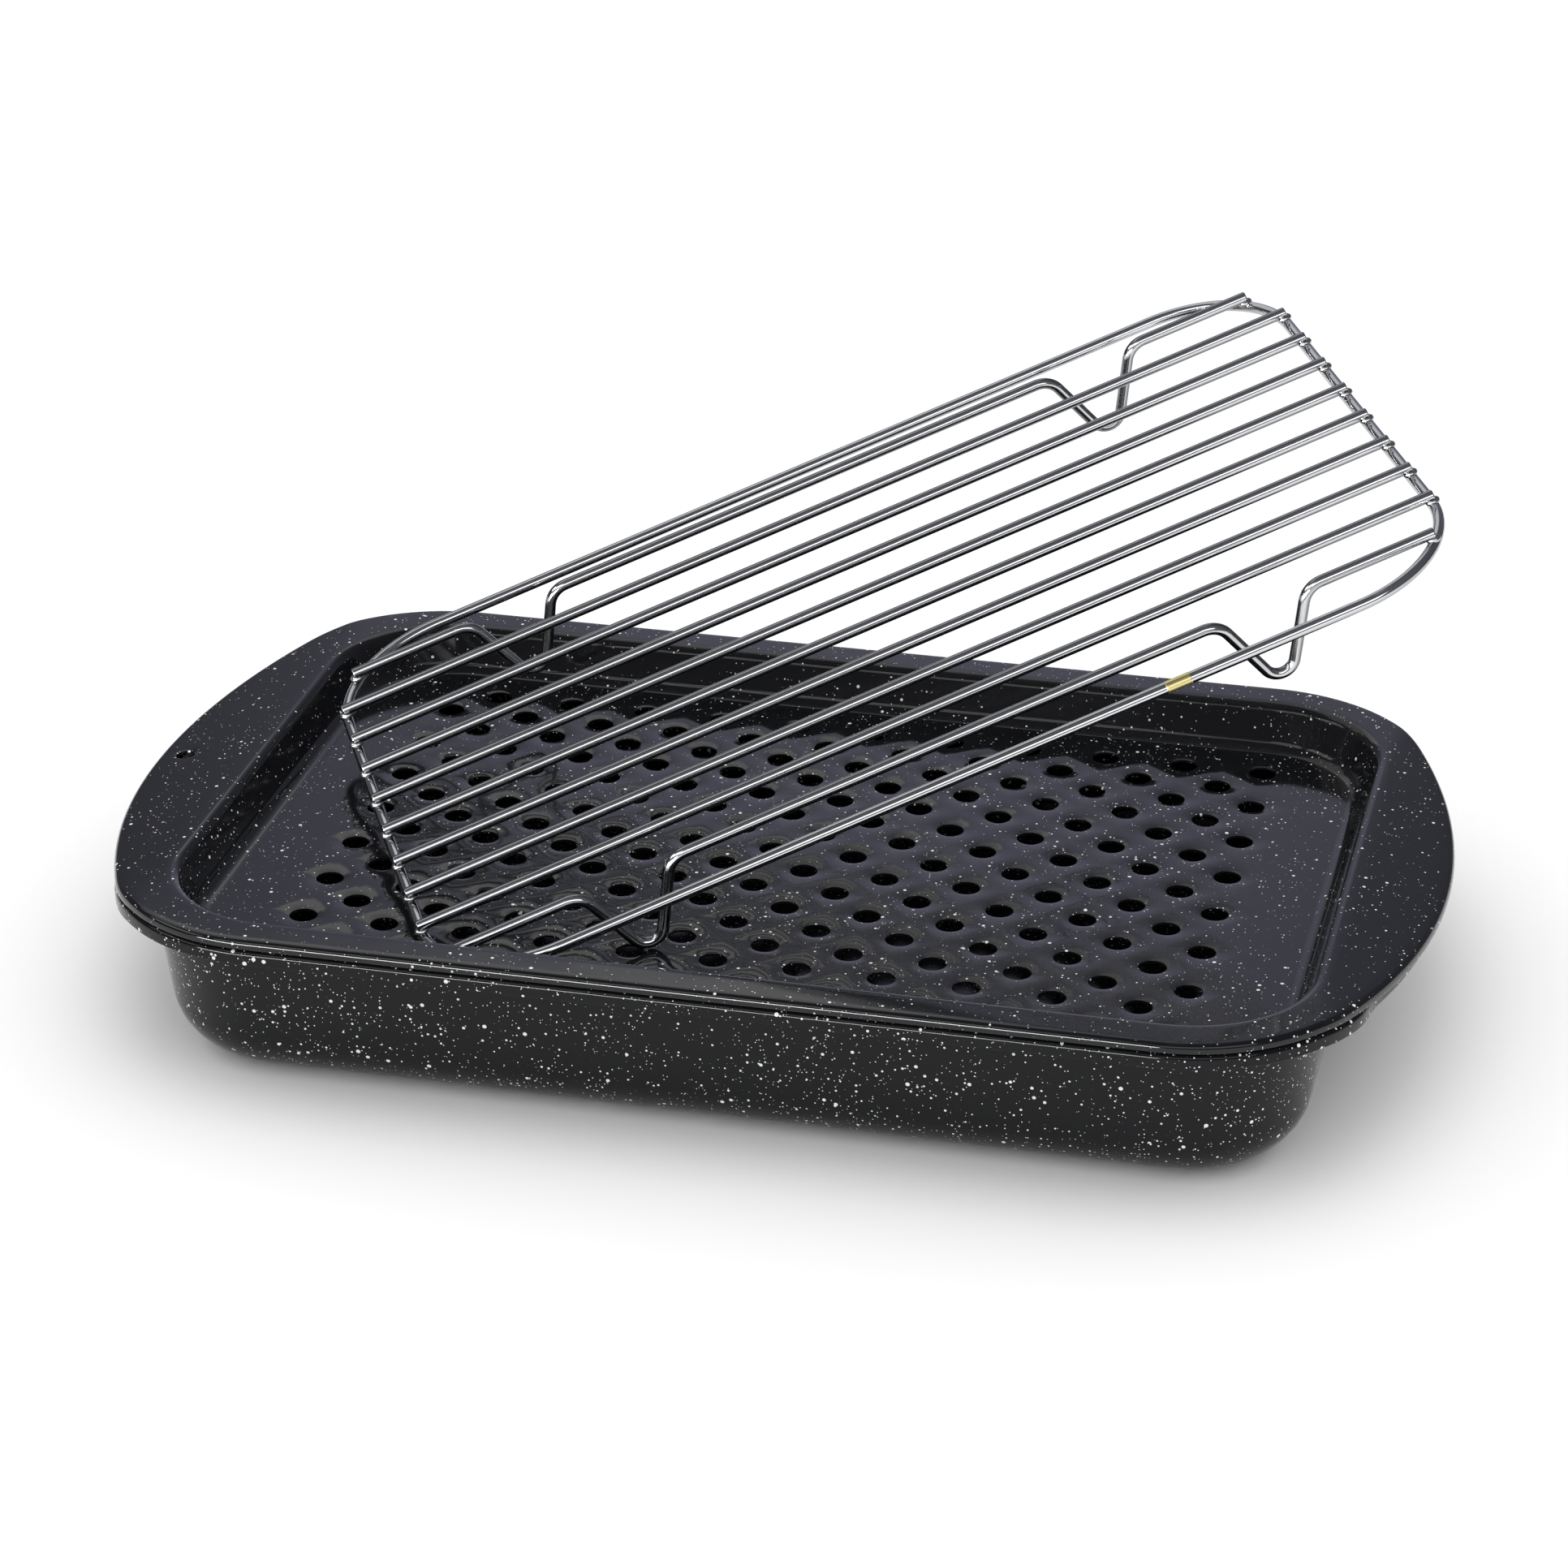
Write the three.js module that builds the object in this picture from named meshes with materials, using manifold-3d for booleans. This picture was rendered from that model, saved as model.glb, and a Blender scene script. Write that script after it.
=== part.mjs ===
// Roasting pan with a perforated grill tray nested on its rim and a wire rack leaning in the tray.
// Millimetres, +Z up. The origin is the middle of the pan's underside. X runs along the pan, from the
// end with the hanging hole to the other end, and Y runs from the front long wall to the rear one.
import * as THREE from 'three';
import { mergeGeometries, mergeVertices } from 'three/addons/utils/BufferGeometryUtils.js';
import Module from 'manifold-3d';

const wasm = await Module();
wasm.setup();

// Sheet steel and the clearances between the pieces
const SHEET = 1.2;               // enamelled steel, enamel included
const SEAT_GAP = 0.3;            // between a piece and what it rests on
const LIP_BEND = 0.6;            // inside radius where a rim turns down into its lip

// Roasting pan
const PAN_HEIGHT = 53;           // table to the top of the rim
const PAN_LENGTH = 384;          // outside of the end walls, at the rim
const PAN_WIDTH = 260;           // outside of the long walls, at the rim
const PAN_CORNER = 44;           // outside corner radius of the walls, at the rim
const PAN_LEAN = 8;              // degrees that the walls lean outwards
const PAN_BASE_ROUND = 20;       // inside radius between base and wall
const PAN_RIM_BEND = 1.2;        // inside radius where the wall turns out into the rim
const SIDE_RIM_FLAT = 1.8;       // flat of the rim between its two bends, along the long walls
const PAN_LIP = 5;               // rim top to the lip's lower edge

// Handles: both ends of the rim widen into an arched flange
const HANDLE_REACH = 29.8;       // how far the flange stands out from the end walls
const HANDLE_ARCH = 264;         // radius of the flange's outer edge
const CORNER_SPREAD = 14;        // how much rounder the rim's corners are than the walls'
const HANDLE_DRAW = 1.8;         // how far the pan's own flange stays behind the shared outline
const HANDLE_HALF_SPREAD = 62;   // centre line to where the pan's flange starts to run out to it
const CORNER_START = 16;         // degrees round the corner where it has run out

// Perforated tray
const TRAY_DEPTH = 15.6;         // rim top to the top of its floor
const TRAY_END_INSET = 3;        // pan wall to the edge where the tray's rim turns down, at the ends
const TRAY_SIDE_INSET = 7.6;     // the same along the sides
const TRAY_LEAN = 20;            // degrees that its walls lean outwards
const TRAY_RIM_BEND = 4;         // upper radius of the edge
const TRAY_FLOOR_ROUND = 6;      // upper radius between floor and wall
const TRAY_LIP = 3.3;            // rim top to the lip's lower edge, which stands on the pan's rim
const TRAY_RIM_INSET = 0.3;      // how far the tray's outline stays inside the pan's

// Drain holes lie on a diamond grid: full rows with shorter rows set between them
const HOLE_DIAMETER = 9.2;
const HOLE_PITCH = 27.6;         // between neighbours along a row and along a column
const HOLE_END_MARGIN = 24;      // least distance from a hole to the end of the flat floor
const HOLE_SIDE_MARGIN = 6;      // least distance from a hole to the side of the flat floor
const HANG_HOLE_DIAMETER = 6.4;
const HANG_HOLE_MARGIN = 7.4;    // hole centre to the flange's outer edge

// Wire rack
const ROD_WIRE = 3.9;
const FRAME_WIRE = 4.0;
const RACK_END_CLEARANCE = 8.7;  // rack to the tray's opening when it lies square in it, at the ends
const RACK_SIDE_CLEARANCE = 10.9; // the same along the sides
const RACK_CORNER = 40;          // corner radius along the middle of the frame wire
const ROD_COUNT = 10;            // eight straight rods between two with feet
const RACK_SIDE_BAY = 16.2;      // frame side to the nearest rod, middle to middle
const ROD_OVERHANG = 0.8;        // rod past the middle of the end bar
const FOOT_FROM_END = 60.3;      // rod's end to the middle of its foot
const FOOT_SPREAD = 31;          // width of a foot where it leaves the rod
const FOOT_DEPTH = 26.9;         // rod to the foot's lowest bend, middle to middle
const SHOULDER_BEND = 8;         // bend radius where a foot leaves the rod
const TOE_BEND = 5.5;            // bend radius at the bottom of a foot

// How the rack leans: one end stands in the tray, the other is raised past the rear rim
const RACK_TURN = 25.7;          // degrees, seen from above
const RACK_TIP = 19.7;           // degrees that the far end is raised
const RACK_ROLL = 5.1;           // degrees that the rear side is raised
const RACK_FROM_END = 3.6;       // rack to the end of the tray's flat floor
const RACK_OVER_SLOPE = 0.5;     // how far it reaches past the foot of the front wall's slope

// Facet counts
const END_STEPS = 5;
const BLEND_STEPS = 4;
const CORNER_STEPS = 6;
const BEND_STEPS = 3;
const BASE_STEPS = 4;
const HOLE_SIDES = 8;
const WIRE_SIDES = 8;
const FRAME_CORNER_STEPS = 8;
const FOOT_BEND_STEPS = 4;

const rad = THREE.MathUtils.degToRad;

// Finishes
const enamel = () => new THREE.MeshStandardMaterial({ color: 0x1b1d20, roughness: 0.22, metalness: 0.0 });
const chrome = () => new THREE.MeshStandardMaterial({ color: 0xc9ccd0, roughness: 0.12, metalness: 1.0 });

// Sizes that follow from the ones above
const lipBend = LIP_BEND + SHEET;
const rimCorner = PAN_CORNER + CORNER_SPREAD;
const rim = {
  halfLength: PAN_LENGTH / 2 + HANDLE_REACH,
  halfWidth: PAN_WIDTH / 2 + PAN_RIM_BEND + SIDE_RIM_FLAT + lipBend,
};
const trayTop = PAN_HEIGHT + SEAT_GAP + TRAY_LIP;
const trayOpening = {
  halfLength: PAN_LENGTH / 2 - TRAY_END_INSET,
  halfWidth: PAN_WIDTH / 2 - TRAY_SIDE_INSET,
};

// Outlines seen from above. Each is the quarter with X and Y positive, as curves from the end's
// middle round to the long side's middle, drawn in by an inset.
function wallCurves(halfLength, halfWidth, corner, splits) {
  const centre = new THREE.Vector2(halfLength - corner, halfWidth - corner);
  const middle = new THREE.Vector2(halfLength, 0);
  const curves = [new THREE.LineCurve(middle, new THREE.Vector2(halfLength, centre.y))];
  const angles = [0, ...splits.map(rad), Math.PI / 2];
  for (let k = 1; k < angles.length; k += 1) {
    curves.push(new THREE.EllipseCurve(centre.x, centre.y, corner, corner, angles[k - 1], angles[k]));
  }
  return curves;
}

// Both rims follow one outline: an arched end that runs into a rounded corner
const rimArchX = rim.halfLength - HANDLE_ARCH;
const rimCornerY = rim.halfWidth - rimCorner;
const rimCornerX = rimArchX + Math.sqrt((HANDLE_ARCH - rimCorner) ** 2 - rimCornerY ** 2);

function trayRimCurves(inset) {
  const meet = Math.atan2(rimCornerY, rimCornerX - rimArchX);
  const arch = HANDLE_ARCH - TRAY_RIM_INSET - inset;
  const corner = rimCorner - TRAY_RIM_INSET - inset;
  return [
    new THREE.EllipseCurve(rimArchX, 0, arch, arch, 0, meet),
    new THREE.EllipseCurve(rimCornerX, rimCornerY, corner, corner, meet, Math.PI / 2),
  ];
}

// The pan's handles stay a little behind that outline and run out to it where the corners begin
function panRimCurves(inset) {
  const arch = HANDLE_ARCH - HANDLE_DRAW - inset;
  const corner = rimCorner - inset;
  const leaveAngle = Math.asin(HANDLE_HALF_SPREAD / HANDLE_ARCH);
  const start = rad(CORNER_START);
  const from = new THREE.Vector2(rimArchX + arch * Math.cos(leaveAngle), arch * Math.sin(leaveAngle));
  const to = new THREE.Vector2(rimCornerX + corner * Math.cos(start), rimCornerY + corner * Math.sin(start));
  const pull = from.distanceTo(to) / 3;
  const leave = new THREE.Vector2(-Math.sin(leaveAngle), Math.cos(leaveAngle)).multiplyScalar(pull);
  const arrive = new THREE.Vector2(-Math.sin(start), Math.cos(start)).multiplyScalar(pull);
  return [
    new THREE.EllipseCurve(rimArchX, 0, arch, arch, 0, leaveAngle),
    new THREE.CubicBezierCurve(from, from.clone().add(leave), to.clone().sub(arrive), to),
    new THREE.EllipseCurve(rimCornerX, rimCornerY, corner, corner, start, Math.PI / 2),
  ];
}

// One closed ring of points at a height, from a quarter's curves and the steps along each
function ring(curves, steps, z) {
  const quarter = [];
  curves.forEach((curve, k) => {
    const points = curve.getPoints(steps[k]);
    quarter.push(...(k === 0 ? points : points.slice(1)));
  });
  const upper = quarter.concat(quarter.slice().reverse().map((p) => new THREE.Vector2(-p.x, p.y)));
  const lower = upper.slice(1, -1).reverse().map((p) => new THREE.Vector2(p.x, -p.y));
  return upper.concat(lower).map((p) => new THREE.Vector3(p.x, p.y, z));
}

// A closed shell through rings that run from the inside of a floor, over the rim and back underneath
function shellThroughRings(rings) {
  const count = rings[0].length;
  const positions = [];
  const index = [];
  rings.forEach((points) => points.forEach((p) => positions.push(p.x, p.y, p.z)));
  for (let k = 0; k + 1 < rings.length; k += 1) {
    for (let i = 0; i < count; i += 1) {
      const next = (i + 1) % count;
      const a = k * count + i;
      const b = k * count + next;
      const c = a + count;
      const d = b + count;
      index.push(a, c, d, a, d, b);
    }
  }
  const last = (rings.length - 1) * count;
  const topCentre = positions.length / 3;
  positions.push(0, 0, rings[0][0].z, 0, 0, rings[rings.length - 1][0].z);
  for (let i = 0; i < count; i += 1) {
    const next = (i + 1) % count;
    index.push(topCentre, i, next, topCentre + 1, last + next, last + i);
  }
  return indexed(positions, index);
}

function indexed(positions, index) {
  const geometry = new THREE.BufferGeometry();
  geometry.setAttribute('position', new THREE.Float32BufferAttribute(positions, 3));
  geometry.setIndex(index);
  geometry.computeVertexNormals();
  return geometry;
}

// Upper side of a pressed wall, as inset and height pairs from floor to rim, and its underside in the
// same order. Insets are measured inwards from the edge where the flat rim begins.
function pressedWall({ depth, lean, floorRound, rimBend, floorSteps, bendSteps }) {
  const turn = Math.PI / 2 - rad(lean);
  const bendDrop = rimBend * (1 - Math.cos(turn));
  const roundRise = floorRound * (1 - Math.cos(turn));
  const straightRun = (depth - bendDrop - roundRise) * Math.tan(rad(lean));
  const run = (rimBend + floorRound) * Math.sin(turn) + straightRun;
  const upper = [];
  const under = [];
  for (let k = 0; k <= floorSteps; k += 1) {
    const angle = (turn * k) / floorSteps;
    const at = (radius) => ({
      inset: run - radius * Math.sin(angle),
      drop: depth - floorRound + radius * Math.cos(angle),
    });
    upper.push(at(floorRound));
    under.push(at(floorRound + SHEET));
  }
  for (let k = 0; k <= bendSteps; k += 1) {
    const angle = turn * (1 - k / bendSteps);
    const at = (radius) => ({
      inset: radius * Math.sin(angle),
      drop: rimBend - radius * Math.cos(angle),
    });
    upper.push(at(rimBend));
    under.push(at(rimBend - SHEET));
  }
  return { upper, under, run, slopeFoot: run - floorRound * Math.sin(turn) };
}

// Rings of a rim's lip, from the flat top over the bend, down, round the lower edge and back up
function lipRings(rimRing, top, lip) {
  const rings = [];
  const bend = (radius, k) => {
    const angle = (Math.PI / 2) * (k / BEND_STEPS);
    return rimRing(lipBend - radius * Math.sin(angle), top - lipBend + radius * Math.cos(angle));
  };
  for (let k = 0; k <= BEND_STEPS; k += 1) {
    rings.push(bend(lipBend, k));
  }
  rings.push(rimRing(0, top - lip));
  rings.push(rimRing(SHEET, top - lip));
  for (let k = BEND_STEPS; k >= 0; k -= 1) {
    rings.push(bend(LIP_BEND, k));
  }
  return rings;
}

// The whole pressing: floor and wall from the inside, rim and lip, then back along the underside
function pressing(wall, wallRing, rimRing, top, lip) {
  const inside = wall.upper.map((p) => wallRing(p.inset, top - p.drop));
  const outside = wall.under.map((p) => wallRing(p.inset, top - p.drop)).reverse();
  return shellThroughRings([...inside, ...lipRings(rimRing, top, lip), ...outside]);
}

function panGeometry() {
  const wall = pressedWall({
    depth: PAN_HEIGHT - SHEET,
    lean: PAN_LEAN,
    floorRound: PAN_BASE_ROUND,
    rimBend: PAN_RIM_BEND + SHEET,
    floorSteps: BASE_STEPS,
    bendSteps: BEND_STEPS,
  });
  // The rim begins one bend outside the wall's outer face
  const edge = PAN_RIM_BEND;
  const steps = [END_STEPS, BLEND_STEPS, CORNER_STEPS];
  const wallRing = (inset, z) => ring(
    wallCurves(
      PAN_LENGTH / 2 + edge - inset,
      PAN_WIDTH / 2 + edge - inset,
      PAN_CORNER + edge - inset,
      [CORNER_START],
    ),
    steps,
    z,
  );
  const rimRing = (inset, z) => ring(panRimCurves(inset), steps, z);
  return pressing(wall, wallRing, rimRing, PAN_HEIGHT, PAN_LIP);
}

const trayWall = pressedWall({
  depth: TRAY_DEPTH,
  lean: TRAY_LEAN,
  floorRound: TRAY_FLOOR_ROUND,
  rimBend: TRAY_RIM_BEND,
  floorSteps: BEND_STEPS,
  bendSteps: BEND_STEPS,
});
const trayFloor = {
  top: trayTop - TRAY_DEPTH,
  halfLength: trayOpening.halfLength - trayWall.run,
  halfWidth: trayOpening.halfWidth - trayWall.run,
};

function solid(geometry) {
  const bare = geometry.clone();
  bare.deleteAttribute('normal');
  bare.deleteAttribute('uv');
  const merged = mergeVertices(bare);
  return new wasm.Manifold(new wasm.Mesh({
    numProp: 3,
    vertProperties: Float32Array.from(merged.attributes.position.array),
    triVerts: Uint32Array.from(merged.index.array),
  }));
}

// A cutter that passes through a sheet whose upper side is at a height
function punch(diameter, x, y, top) {
  const length = 3 * SHEET;
  const cutter = new THREE.CylinderGeometry(diameter / 2, diameter / 2, length, HOLE_SIDES);
  cutter.rotateX(Math.PI / 2);
  cutter.rotateZ(Math.PI / HOLE_SIDES);
  cutter.translate(x, y, top - SHEET / 2);
  return cutter;
}

// Places along one direction of the floor, spread about its middle
function spread(count, step) {
  return Array.from({ length: count }, (_, k) => (k - (count - 1) / 2) * step);
}

function trayGeometry() {
  const steps = [END_STEPS, CORNER_STEPS];
  const wallRing = (inset, z) => ring(
    wallCurves(
      trayOpening.halfLength - inset,
      trayOpening.halfWidth - inset,
      PAN_CORNER - inset,
      [],
    ),
    steps,
    z,
  );
  const rimRing = (inset, z) => ring(trayRimCurves(inset), steps, z);
  const sheet = solid(pressing(trayWall, wallRing, rimRing, trayTop, TRAY_LIP));

  // Columns stand half a pitch apart, and every second one holds a hole less
  const half = HOLE_PITCH / 2;
  const roomX = 2 * (trayFloor.halfLength - HOLE_END_MARGIN) - HOLE_DIAMETER;
  const roomY = 2 * (trayFloor.halfWidth - HOLE_SIDE_MARGIN) - HOLE_DIAMETER;
  const columns = 1 + Math.floor(roomX / half);
  const rows = 1 + Math.floor(roomY / HOLE_PITCH);
  const hangHoleX = HANG_HOLE_MARGIN + TRAY_RIM_INSET - rim.halfLength;
  const cutters = [punch(HANG_HOLE_DIAMETER, hangHoleX, 0, trayTop)];
  spread(columns, half).forEach((x, column) => {
    const shorter = column % 2 === 0 ? 1 : 0;
    spread(rows - shorter, HOLE_PITCH).forEach((y) => {
      cutters.push(punch(HOLE_DIAMETER, x, y, trayFloor.top));
    });
  });
  const mesh = sheet.subtract(solid(mergeGeometries(cutters))).getMesh();
  return indexed(Array.from(mesh.vertProperties), Array.from(mesh.triVerts));
}

// Round wire along points in one plane, closed into a loop or with flat ends
function wireGeometry(points, diameter, planeNormal, closed) {
  const count = points.length;
  const positions = [];
  const index = [];
  for (let i = 0; i < count; i += 1) {
    const before = points[closed ? (i + count - 1) % count : Math.max(i - 1, 0)];
    const after = points[closed ? (i + 1) % count : Math.min(i + 1, count - 1)];
    const along = after.clone().sub(before).normalize();
    const across = along.clone().cross(planeNormal);
    for (let side = 0; side < WIRE_SIDES; side += 1) {
      const angle = (2 * Math.PI * (side + 0.5)) / WIRE_SIDES;
      const p = points[i].clone();
      p.addScaledVector(across, (diameter / 2) * Math.cos(angle));
      p.addScaledVector(planeNormal, (diameter / 2) * Math.sin(angle));
      positions.push(p.x, p.y, p.z);
    }
  }
  const spans = closed ? count : count - 1;
  for (let i = 0; i < spans; i += 1) {
    for (let side = 0; side < WIRE_SIDES; side += 1) {
      const next = (side + 1) % WIRE_SIDES;
      const a = i * WIRE_SIDES + side;
      const b = i * WIRE_SIDES + next;
      const c = ((i + 1) % count) * WIRE_SIDES + side;
      const d = ((i + 1) % count) * WIRE_SIDES + next;
      index.push(a, d, b, a, c, d);
    }
  }
  if (!closed) {
    const last = (count - 1) * WIRE_SIDES;
    for (let side = 1; side + 1 < WIRE_SIDES; side += 1) {
      index.push(0, side, side + 1, last, last + side + 1, last + side);
    }
  }
  return indexed(positions, index);
}

// A wire's middle line from its corners, each inner corner rounded to its own radius
function bentLine(corners, radii, steps) {
  const points = [corners[0]];
  for (let k = 1; k + 1 < corners.length; k += 1) {
    const back = corners[k - 1].clone().sub(corners[k]).normalize();
    const ahead = corners[k + 1].clone().sub(corners[k]).normalize();
    const half = back.angleTo(ahead) / 2;
    const centre = corners[k].clone();
    centre.addScaledVector(back.clone().add(ahead).normalize(), radii[k - 1] / Math.sin(half));
    const tangent = radii[k - 1] / Math.tan(half);
    const first = corners[k].clone().addScaledVector(back, tangent).sub(centre);
    const second = corners[k].clone().addScaledVector(ahead, tangent).sub(centre);
    const sweep = first.angleTo(second);
    for (let step = 0; step <= steps; step += 1) {
      const t = step / steps;
      const arm = first.clone().multiplyScalar(Math.sin(sweep * (1 - t)) / Math.sin(sweep));
      arm.addScaledVector(second, Math.sin(sweep * t) / Math.sin(sweep));
      points.push(centre.clone().add(arm));
    }
  }
  points.push(corners[corners.length - 1]);
  return points;
}

// Rack, in its own frame: X along the rods, Y across them, Z up through the middle of the rods
const rackFrame = {
  halfLength: trayOpening.halfLength - RACK_END_CLEARANCE - FRAME_WIRE / 2,
  halfWidth: trayOpening.halfWidth - RACK_SIDE_CLEARANCE - FRAME_WIRE / 2,
};
const rodSpacing = (2 * (rackFrame.halfWidth - RACK_SIDE_BAY)) / (ROD_COUNT - 1);

function frameGeometry() {
  const curves = wallCurves(rackFrame.halfLength, rackFrame.halfWidth, RACK_CORNER, []);
  const z = -(ROD_WIRE / 2 + SEAT_GAP + FRAME_WIRE / 2);
  const up = new THREE.Vector3(0, 0, 1);
  return wireGeometry(ring(curves, [1, FRAME_CORNER_STEPS], z), FRAME_WIRE, up, true);
}

// Half the length of a rod that ends on the frame at a distance from the centre line
function rodReach(y) {
  const cornerY = rackFrame.halfWidth - RACK_CORNER;
  const past = Math.max(Math.abs(y) - cornerY, 0);
  return rackFrame.halfLength - RACK_CORNER + Math.sqrt(RACK_CORNER ** 2 - past ** 2) + ROD_OVERHANG;
}

function straightRodGeometry(reach) {
  const rod = new THREE.CylinderGeometry(ROD_WIRE / 2, ROD_WIRE / 2, 2 * reach, WIRE_SIDES);
  rod.rotateZ(Math.PI / 2);
  return rod;
}

// Depth of the sharp corner whose rounded bend reaches down to the foot's depth
function toeCornerDepth() {
  const halfSpread = FOOT_SPREAD / 2;
  const ratio = TOE_BEND / halfSpread;
  const rest = 1 - ratio ** 2;
  const centre = FOOT_DEPTH - TOE_BEND;
  return (centre + ratio * Math.sqrt(centre ** 2 + rest * halfSpread ** 2)) / rest;
}

function footedRodGeometry(reach) {
  const corners = [new THREE.Vector3(-reach, 0, 0)];
  const radii = [];
  for (const middle of [FOOT_FROM_END - reach, reach - FOOT_FROM_END]) {
    corners.push(new THREE.Vector3(middle - FOOT_SPREAD / 2, 0, 0));
    corners.push(new THREE.Vector3(middle, 0, -toeCornerDepth()));
    corners.push(new THREE.Vector3(middle + FOOT_SPREAD / 2, 0, 0));
    radii.push(SHOULDER_BEND, TOE_BEND, SHOULDER_BEND);
  }
  corners.push(new THREE.Vector3(reach, 0, 0));
  const line = bentLine(corners, radii, FOOT_BEND_STEPS);
  return wireGeometry(line, ROD_WIRE, new THREE.Vector3(0, -1, 0), false);
}

function mesh(name, geometry, material) {
  const piece = new THREE.Mesh(geometry, material);
  piece.name = name;
  return piece;
}

function buildRack() {
  const rack = new THREE.Group();
  rack.add(mesh('rack_frame', frameGeometry(), chrome()));
  spread(ROD_COUNT, rodSpacing).forEach((y, k) => {
    let rod = mesh(`rack_rod_${k}`, straightRodGeometry(rodReach(y)), chrome());
    if (k === 0) rod = mesh('rack_footed_rod_front', footedRodGeometry(rodReach(y)), chrome());
    if (k === ROD_COUNT - 1) rod = mesh('rack_footed_rod_rear', footedRodGeometry(rodReach(y)), chrome());
    rod.position.y = y;
    rack.add(rod);
  });

  // Lean it, then set it down on the tray's floor in the front corner of one end
  rack.rotation.set(rad(RACK_ROLL), -rad(RACK_TIP), rad(RACK_TURN), 'ZYX');
  rack.updateMatrixWorld(true);
  const reach = new THREE.Box3().setFromObject(rack, true).min;
  rack.position.set(
    RACK_FROM_END - trayFloor.halfLength - reach.x,
    trayWall.slopeFoot - trayOpening.halfWidth - RACK_OVER_SLOPE - reach.y,
    trayFloor.top + SEAT_GAP - reach.z,
  );
  return rack;
}

const roaster = new THREE.Group();
roaster.add(mesh('roasting_pan', panGeometry(), enamel()));
roaster.add(mesh('perforated_tray', trayGeometry(), enamel()));
roaster.add(buildRack());

export default roaster;
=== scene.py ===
# %% [markdown]
# # A roasting pan, its grill tray and a wire rack
# The set is pressed sheet steel under black glass enamel, and a rack of plated wire. The CAD model gives
# every piece its place and size. This script makes each piece again with finer edges, bends and finishes,
# and lets it ride on the CAD body that it belongs to. All lengths are in metres.

import math

import bmesh
import bpy
from mathutils import Matrix, Vector


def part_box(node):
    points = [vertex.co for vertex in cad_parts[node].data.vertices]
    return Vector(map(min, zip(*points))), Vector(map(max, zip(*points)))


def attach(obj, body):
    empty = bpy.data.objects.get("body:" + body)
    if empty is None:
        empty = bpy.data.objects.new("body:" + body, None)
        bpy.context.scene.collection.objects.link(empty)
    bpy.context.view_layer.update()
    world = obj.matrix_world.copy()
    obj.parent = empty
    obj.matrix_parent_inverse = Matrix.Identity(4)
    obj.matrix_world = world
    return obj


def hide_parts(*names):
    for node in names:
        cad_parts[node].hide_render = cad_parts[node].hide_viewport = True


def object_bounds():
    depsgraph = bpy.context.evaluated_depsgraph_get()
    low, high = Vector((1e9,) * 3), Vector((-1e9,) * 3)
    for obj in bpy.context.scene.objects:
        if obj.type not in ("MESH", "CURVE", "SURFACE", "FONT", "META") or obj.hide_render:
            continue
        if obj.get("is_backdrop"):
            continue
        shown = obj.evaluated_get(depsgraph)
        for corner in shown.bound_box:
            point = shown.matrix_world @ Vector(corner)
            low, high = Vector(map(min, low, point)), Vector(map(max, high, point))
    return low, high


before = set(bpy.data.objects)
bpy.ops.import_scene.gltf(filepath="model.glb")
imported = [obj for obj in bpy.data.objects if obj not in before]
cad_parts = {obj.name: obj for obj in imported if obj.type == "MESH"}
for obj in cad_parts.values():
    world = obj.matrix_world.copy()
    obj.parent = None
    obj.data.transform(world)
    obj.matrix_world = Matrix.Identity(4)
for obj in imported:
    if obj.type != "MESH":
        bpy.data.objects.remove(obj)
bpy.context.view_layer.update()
MM = 0.001
TOUCH = MM / 100
UP = Vector((0, 0, 1))

# %% [markdown]
# ## Sizes
# The presser's drawing: sheet, walls, rims and holes. Most sizes are those of the CAD model, so the new
# pieces lie where the solids lie. Here the handles also droop a little, and the rim stands slightly
# further out at the end with the hanging hole.

# %% Sizes of the pressed pieces
SHEET = 1.2 * MM
LIP_BEND = 1.8 * MM
LIP_BEAD = 0.4 * SHEET
PAN = {
    "top": 53 * MM,
    "depth": 51.8 * MM,
    "half_length": 193.2 * MM,
    "half_width": 131.2 * MM,
    "corner": 45.2 * MM,
    "lean": 8,
    "floor_round": 20 * MM,
    "rim_bend": 2.4 * MM,
    "lip": 5 * MM,
    "rim_inset": 0.0,
    "handle_draw": 2.9 * MM,
}
TRAY = {
    "top": 56.6 * MM,
    "depth": 15.6 * MM,
    "half_length": 189 * MM,
    "half_width": 122.4 * MM,
    "corner": 44 * MM,
    "lean": 20,
    "floor_round": 6 * MM,
    "rim_bend": 4 * MM,
    "lip": 3.3 * MM,
    "rim_inset": 0.3 * MM,
    "handle_draw": 0.0,
}
RIM_HALF_LENGTH = 222.2 * MM
RIM_HALF_WIDTH = 134.8 * MM
RIM_CORNER = 60.5 * MM
RIM_SHIFT = 2.2 * MM
HANDLE_ARCH = 245 * MM
HANDLE_REACH = 30.2 * MM
HANDLE_DROOP = 4.4 * MM
HANDLE_START = 192 * MM
DRAW_FROM = 74 * MM
DRAW_TO = 94.5 * MM
print("rim in mm:", round(2 * RIM_HALF_LENGTH / MM, 1), "by", round(2 * RIM_HALF_WIDTH / MM, 1))

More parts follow.
